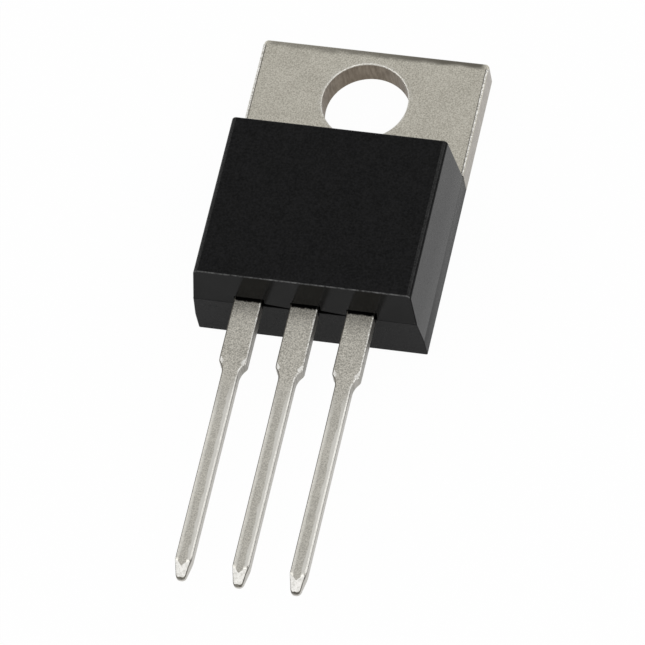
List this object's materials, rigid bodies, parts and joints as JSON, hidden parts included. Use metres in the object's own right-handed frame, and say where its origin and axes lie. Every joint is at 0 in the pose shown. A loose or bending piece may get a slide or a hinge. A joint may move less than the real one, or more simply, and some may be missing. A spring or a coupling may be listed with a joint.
{
  "type": "triac",
  "caption": "Through-hole power triac: drafted plastic body on a plated copper tab with a mounting hole, and a row of stepped leads with bevelled tips.",
  "frame": {"origin": "the mounting hole's axis where it meets the flat back of the tab", "axes": "+Z out of the body's front face, away from the heat sink; +Y towards the tab's free end, with the leads running to -Y; +X to the right seen from the front with the leads pointing down"},
  "size_m": [0.0104, 0.0285, 0.0045],
  "materials": {
    "plated_tab": "matte tin and nickel plating with a fine grain",
    "plated_lead": "matte tin plating with a fine grain and brighter edges",
    "black_epoxy": "matte moulded epoxy with a fine texture",
    "silicon": "polished grey",
    "solder": "dull soft solder",
    "bare_copper": "bare copper",
    "bond_wire": "drawn aluminium wire"
  },
  "bodies": {
    "root": {"header_and_centre_lead": "plated_tab", "left_lead": "plated_lead", "right_lead": "plated_lead", "moulded_body": "black_epoxy", "triac_die": "silicon", "die_solder": "solder", "clip_die_solder": "solder", "clip_lead_solder": "solder", "main_terminal_clip": "bare_copper", "gate_wire": "bond_wire"}
  },
  "joints": []
}
